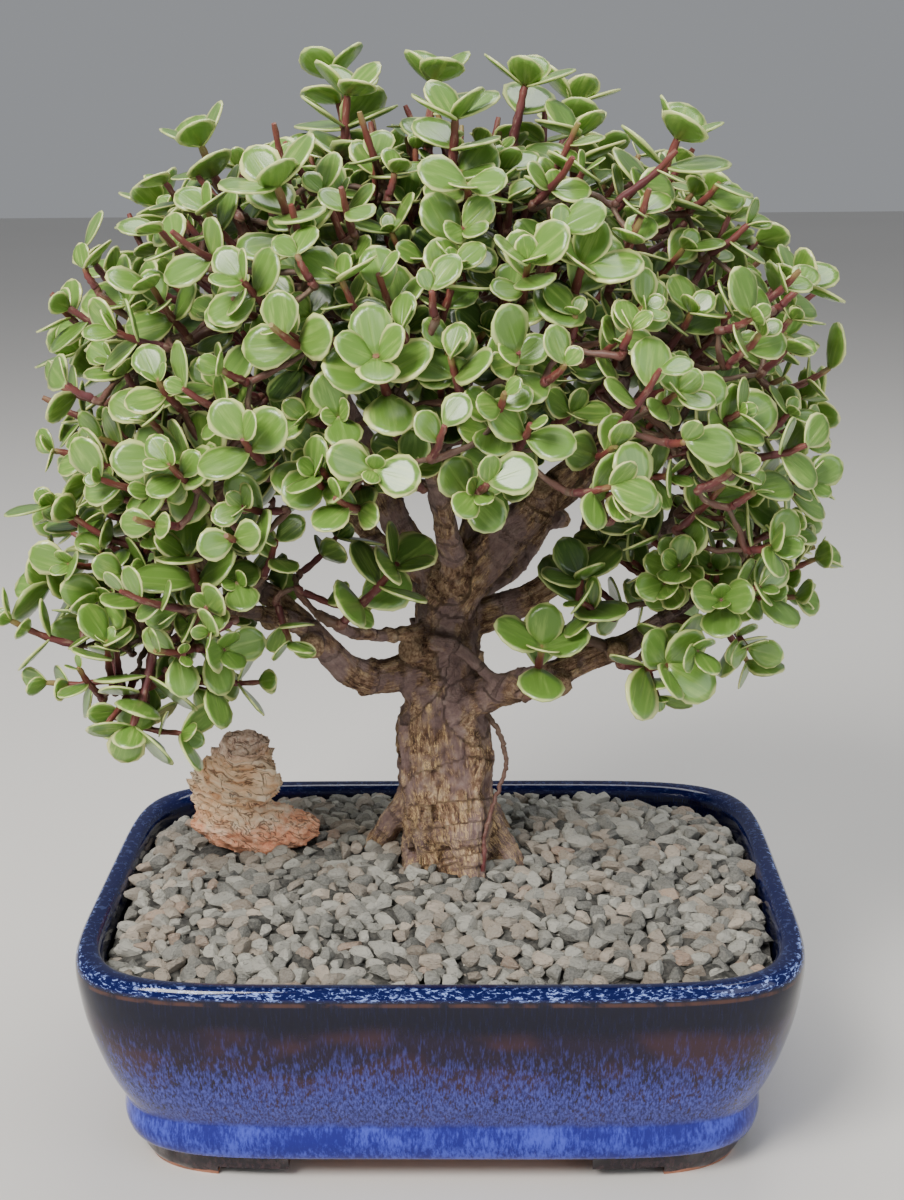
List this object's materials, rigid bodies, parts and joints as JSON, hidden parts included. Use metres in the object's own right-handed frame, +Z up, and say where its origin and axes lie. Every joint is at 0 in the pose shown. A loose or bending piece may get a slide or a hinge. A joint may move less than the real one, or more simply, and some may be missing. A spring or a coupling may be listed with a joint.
{
  "type": "bonsai tree",
  "caption": "Dwarf jade bonsai with a domed leafy crown in a bowed oblong glazed pot with corner feet, gravel top and an ornament stone",
  "frame": {"origin": "middle of the whole part's box on the ground, under the pot's feet", "axes": "+X to the right along the pot's long side, +Y from the front to the back, +Z up"},
  "size_m": [0.2342, 0.195, 0.3033],
  "materials": {
    "blue_glaze": "glossy glazed stoneware",
    "black_plastic": "matt moulded mesh",
    "soil": "loose dark growing medium",
    "grey_gravel": "rough crushed stone",
    "bark": "peeling succulent bark",
    "leaf_green": "glossy fleshy leaf",
    "jasper": "rough broken stone"
  },
  "bodies": {
    "root": {"pot": "blue_glaze", "drain_screen_left": "black_plastic", "drain_screen_right": "black_plastic", "soil": "soil", "gravel": "grey_gravel", "ornament_stone": "jasper", "trunk_and_branches": "bark", "spray_01": "leaf_green", "spray_02": "leaf_green", "spray_03": "leaf_green", "spray_04": "leaf_green", "spray_05": "leaf_green", "spray_06": "leaf_green", "spray_07": "leaf_green", "spray_08": "leaf_green", "spray_09": "leaf_green", "spray_10": "leaf_green", "spray_11": "leaf_green", "spray_12": "leaf_green", "spray_13": "leaf_green", "spray_14": "leaf_green", "spray_15": "leaf_green", "spray_16": "leaf_green", "spray_17": "leaf_green", "spray_18": "leaf_green", "spray_19": "leaf_green", "spray_20": "leaf_green", "spray_21": "leaf_green", "spray_22": "leaf_green", "spray_23": "leaf_green", "spray_24": "leaf_green", "spray_25": "leaf_green", "spray_26": "leaf_green", "spray_27": "leaf_green", "spray_28": "leaf_green", "spray_29": "leaf_green", "spray_30": "leaf_green", "spray_31": "leaf_green", "spray_32": "leaf_green", "spray_33": "leaf_green", "spray_34": "leaf_green", "spray_35": "leaf_green", "spray_36": "leaf_green", "spray_37": "leaf_green", "spray_38": "leaf_green", "spray_39": "leaf_green", "spray_40": "leaf_green"}
  },
  "joints": []
}
